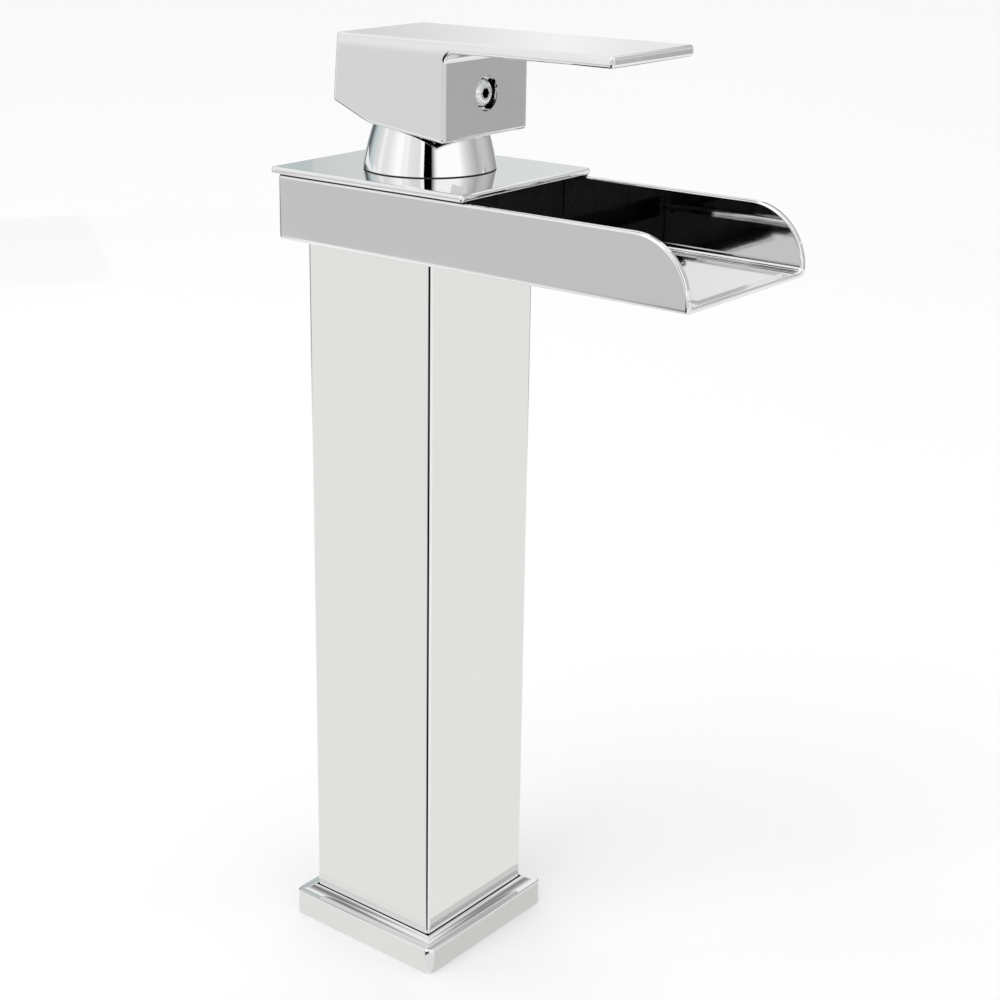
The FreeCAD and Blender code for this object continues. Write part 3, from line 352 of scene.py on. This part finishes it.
def only_reflected(piece):
    """The piece shows in reflections, and neither the camera nor the floor sees it."""
    piece.visible_camera = False
    piece.visible_diffuse = False
    piece.visible_shadow = False
    piece.visible_transmission = False
    piece.visible_volume_scatter = False


def toned_grid(name, columns, tint=WHITE):
    """A glowing sheet for reflections. Each column is a list of (place, tone), and all are equally long."""
    places = [place for column in columns for place, tone in column]
    tones = [tone for column in columns for place, tone in column]
    rows = len(columns[0])
    faces = []
    for start in range(0, len(places) - rows, rows):
        for row in range(start, start + rows - 1):
            faces.append((row, row + rows, row + rows + 1, row + 1))
    material = glowing(name, 1.0, tint)
    tree = material.node_tree
    reader = tree.nodes.new("ShaderNodeAttribute")
    reader.attribute_name = "tone"
    tree.links.new(reader.outputs["Fac"], tree.nodes["Emission"].inputs["Strength"])
    mesh = bpy.data.meshes.new(name)
    mesh.from_pydata(places, [], faces)
    mesh.attributes.new("tone", "FLOAT", "POINT").data.foreach_set("value", tones)
    mesh.materials.append(material)
    only_reflected(staged(name, mesh))


def fine_steps(stops):
    """Azimuths and tones at small even steps between the stops."""
    yield stops[0]
    for (start, tone), (end, next_tone) in zip(stops, stops[1:]):
        steps = max(1, math.ceil((end - start) / RING_STEP))
        for step in range(1, steps + 1):
            share = step / steps
            yield start + share * (end - start), tone + share * (next_tone - tone)


def toned_card(name, distance, low, high, stops, tint=WHITE, fade=0.0):
    """An upright card that curves round the mixer, between two heights. Its tone runs evenly from stop to
    stop, and each stop is an azimuth and the tone there. With a fade, the card turns white towards its
    lower and upper edges over that height."""
    columns = []
    for azimuth, tone in fine_steps(stops):
        foot = towards(azimuth) * distance
        levels = [(low, tone), (high, tone)]
        if fade:
            levels = [(low, 1.0), (low + fade, tone), (high - fade, tone), (high, 1.0)]
        columns.append([(foot + Vector((0, 0, height)), shade) for height, shade in levels])
    toned_grid(name, columns, tint)


def floor_sector(name, middle, near, far, stops, fade=0.0):
    """A flat piece of a ring on the floor round a point, between two distances. Its tone runs from stop to
    stop. With a fade, it goes on outwards and turns white over that distance."""
    columns = []
    for azimuth, tone in fine_steps(stops):
        levels = [(near, tone), (far, tone)]
        if fade:
            levels.append((far + fade, 1.0))
        columns.append([(middle + towards(azimuth) * distance, shade) for distance, shade in levels])
    toned_grid(name, columns)


def seen_on_floor(point, axis):
    """The place on the floor that an upright face shows the camera at one of its points; the face looks
    along an axis."""
    mirrored = CAMERA_PLACE.copy()
    mirrored[axis] = 2 * point[axis] - mirrored[axis]
    onward = point - mirrored
    return point + onward * (point.z / (CAMERA_PLACE.z - point.z))


def floor_mat(name, axis, place, ends, heights, lift, material):
    """A card on the floor where an upright face shows it to the camera: the face lies at a place on its
    axis, between two ends and two heights."""
    corners = []
    for end, height in ((0, 0), (1, 0), (1, 1), (0, 1)):
        point = Vector((0, 0, heights[height]))
        point[axis] = place
        point[1 - axis] = ends[end]
        corner = seen_on_floor(point, axis)
        corner.z = lift
        corners.append(corner)
    only_reflected(flat_piece(name, corners, material))


def make_floor():
    finish = Finish("studio_floor", Roughness=0.8)
    finish.colour(finish.between(finish.noise(FLOOR_BLOTCH), (0.93, 0.93, 0.93), (0.95, 0.95, 0.95)))
    signs = ((-1, -1), (1, -1), (1, 1), (-1, 1))
    corners = [(x * FLOOR_REACH, y * FLOOR_REACH, 0) for x, y in signs]
    flat_piece("studio_floor", corners, finish.material)


def make_world():
    """Even white light all round."""
    world = bpy.data.worlds.new("studio")
    bpy.context.scene.world = world
    world.use_nodes = True
    background = world.node_tree.nodes["Background"]
    background.inputs["Color"].default_value = (*WHITE, 1.0)
    background.inputs["Strength"].default_value = 1.0


def make_lights():
    """One large soft light overhead, to the left of the camera."""
    data = bpy.data.lights.new("key", "AREA")
    data.shape = "DISK"
    data.size = KEY_WIDTH
    data.energy = KEY_WATTS
    key = bpy.data.objects.new("key", data)
    bpy.context.scene.collection.objects.link(key)
    key.location = towards(CAMERA_AZIMUTH - KEY_TURN, KEY_ELEVATION) * KEY_DISTANCE
    key.rotation_mode = "QUATERNION"
    key.rotation_quaternion = (-key.location).to_track_quat("-Z", "Y")


def wider(low, high):
    return low - MAT_MARGIN, high + MAT_MARGIN


def make_mats():
    """Mats on the floor that give each upright face its own shade. A row has the mat's name, the face's
    axis, its place there, its ends and heights, and the mat's tone, tint and lift."""
    column_low, column_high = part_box("column")
    spout_low, spout_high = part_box("spout_trough")
    handle_low, handle_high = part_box("handle")
    base_low, base_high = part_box("base_plate")
    block_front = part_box("handle_set_screw")[1].x + SCREW_SUNK
    lever_low = handle_high.z - LEVER_THICK
    column_heights = (base_high.z, column_high.z)
    spout_heights = (spout_low.z + SPOUT_MAT_TRIM, spout_high.z + MAT_MARGIN)
    side_heights = (handle_low.z - MAT_MARGIN, lever_low)
    front_heights = (handle_low.z - MAT_MARGIN, handle_high.z)
    end_heights = (lever_low, handle_high.z)
    base_heights = (0.0, base_high.z)
    column_x, column_y = wider(column_low.x, column_high.x), wider(column_low.y, column_high.y)
    handle_x, handle_y = wider(handle_low.x, handle_high.x), wider(handle_low.y, handle_high.y)
    spout_x = wider(spout_low.x, spout_high.x)
    base_x = (base_low.x - MAT_MARGIN, base_high.x)
    base_y = (base_low.y, base_high.y + MAT_MARGIN)
    for name, axis, place, ends, heights, tone, tint, lift in (
        ("mat_column_left", Y, column_low.y, column_x, column_heights, 0.915, WARM, MAT_LIFT),
        ("mat_column_right", X, column_high.x, column_y, column_heights, 0.915, WARM, MAT_LIFT),
        ("mat_spout", Y, spout_low.y, spout_x, spout_heights, 0.64, WHITE, MAT_LIFT),
        ("mat_handle_side", Y, handle_low.y, handle_x, side_heights, 0.79, WHITE, MAT_LIFT),
        ("mat_handle_front", X, block_front, handle_y, front_heights, 0.465, WHITE, MAT_LIFT),
        ("mat_lever_end", X, handle_high.x, handle_y, end_heights, 0.50, WHITE, MAT_LIFT),
        ("mat_base_left", Y, base_low.y, base_x, base_heights, 0.885, WARM, BASE_MAT_LIFT),
        ("mat_base_right", X, base_high.x, base_y, base_heights, 0.70, WARM, BASE_MAT_LIFT),
    ):
        floor_mat(name, axis, place, ends, heights, lift, glowing(name, tone, tint))


def make_floor_cards():
    """Sectors of the floor that the rounded upright edges and the cone show. The first two spread from the
    base's near corner, and the others lie round the mixer's axis."""
    base_low, base_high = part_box("base_plate")
    near_corner = Vector((base_high.x, base_low.y, SECTOR_LIFT))
    middle = Vector((0, 0, SECTOR_LIFT))
    floor_sector("card_corner", near_corner, SECTOR_START, SECTOR_TIP, stops=[(-45, 0.84), (146, 0.84)])
    floor_sector("card_floor", near_corner, SECTOR_TIP, SECTOR_END, stops=[
        (-45, 1.0), (-28, 0.35), (-12, 0.03), (0, 0.0), (35, 0.0), (40, 0.2), (48, 1.0),
    ], fade=SECTOR_FADE)
    floor_sector("card_floor_far", middle, *FAR_SECTOR, stops=[(-30, 0.75), (136, 0.75)])
    floor_sector("card_floor_left", middle, *LEFT_SECTOR, stops=[(-125, 0.15), (-78, 0.15)])


def make_side_cards():
    """Cards round the mixer that the cone shows: a black stripe in front of it, then the tones from its left
    to its right. The last card shows in the spout's floor."""
    toned_card("card_stripe", STRIPE_RING, low=0.30, high=1.2, stops=[(29.5, 0.0), (43, 0.0)])
    toned_card("card_left", LEFT_RING, low=0.02, high=SIDE_HIGH, stops=[
        (-135, 0.62), (-120, 0.55), (-113, 0.15), (-103, 0.15), (-97, 0.35), (-86, 0.72), (-74, 0.80),
    ], tint=COLD)
    toned_card("card_front_left", LEFT_RING, low=SIDE_LOW, high=SIDE_HIGH, stops=[
        (-74, 0.8), (-64, 0.85), (-57, 1.08), (-49, 0.92), (-40, 0.92), (-20, 1.19), (-13, 1.19),
        (-8, 1.04), (-2, 1.10), (4, 0.94), (21, 0.87), (25, 1.19), (44, 1.19),
    ])
    toned_card("card_front_right", RIGHT_RING, low=SIDE_LOW, high=SIDE_HIGH, stops=[
        (43, 0.1), (46, 0.5), (50, 1.0), (54, 1.19), (93, 1.19), (103, 0.90), (116, 0.67), (130, 0.49),
        (140, 0.62), (150, 0.65), (160, 0.62), (170, 0.52), (182, 0.40), (200, 0.40),
    ])
    toned_card("card_right_low", RIGHT_RING, low=0.01, high=SIDE_LOW, stops=[
        (144.5, 0.50), (149, 0.50), (151, 0.62), (160, 0.62), (170, 0.52), (182, 0.40), (200, 0.40),
    ])
    toned_card("card_step", STEP_RING, low=0.488, high=0.525, stops=[(145, 1.05), (153, 1.05)])


def make_rear_cards():
    """Cards behind the mixer: the lowest shows in the handle's top, the middle one in the cover plate and
    the highest in the spout's floor."""
    toned_card("card_rear_low", REAR_RING, low=REAR_LOW, high=REAR_MIDDLE, stops=[
        (204, 0.88), (213, 0.88), (215.5, 0.97), (219, 0.82), (222, 0.72), (234, 0.72),
    ])
    toned_card("card_rear_high", REAR_RING, low=REAR_MIDDLE, high=REAR_HIGH, stops=[
        (208, 0.88), (215, 0.80), (219, 0.76), (223, 0.70), (227, 0.54), (234, 0.46),
    ], tint=COOL)
    toned_card("card_panel", REAR_RING, low=REAR_HIGH, high=REAR_TOP, stops=[(204, 0.92), (222, 0.92)],
               tint=CREAM)


def make_base_cards():
    """Small cards close to the mixer that the hollow in the base's top shows."""
    toned_card("card_base_left", BASE_RING, low=0.13, high=0.262, stops=[
        (-105, 1.0), (-90, 0.55), (-72, 0.25), (-62, 0.25), (-53, 0.45), (-45, 1.0),
    ], fade=BASE_FADE)
    toned_card("card_base_right", BASE_RING, low=0.11, high=0.235, stops=[
        (144, 1.0), (152, 0.45), (160, 0.28), (168, 0.3), (184, 0.55), (196, 1.0),
    ], fade=BASE_FADE)


def make_camera():
    data = bpy.data.cameras.new("camera")
    data.sensor_width = CAMERA_SENSOR_MM
    data.lens = CAMERA_LENS_MM
    data.shift_x, data.shift_y = CAMERA_SHIFT
    data.clip_start, data.clip_end = CAMERA_REACH
    camera = bpy.data.objects.new("camera", data)
    bpy.context.scene.collection.objects.link(camera)
    camera.location = CAMERA_PLACE
    camera.rotation_mode = "QUATERNION"
    looking = -towards(CAMERA_AZIMUTH, CAMERA_ELEVATION)
    camera.rotation_quaternion = looking.to_track_quat("-Z", "Y")
    bpy.context.scene.camera = camera


# ---------------------------------------------------------------- the scene

dress_the_cad()
make_floor()
make_world()
make_lights()
make_mats()
make_floor_cards()
make_side_cards()
make_rear_cards()
make_base_cards()
make_camera()
bpy.context.scene.view_settings.view_transform = "Standard"
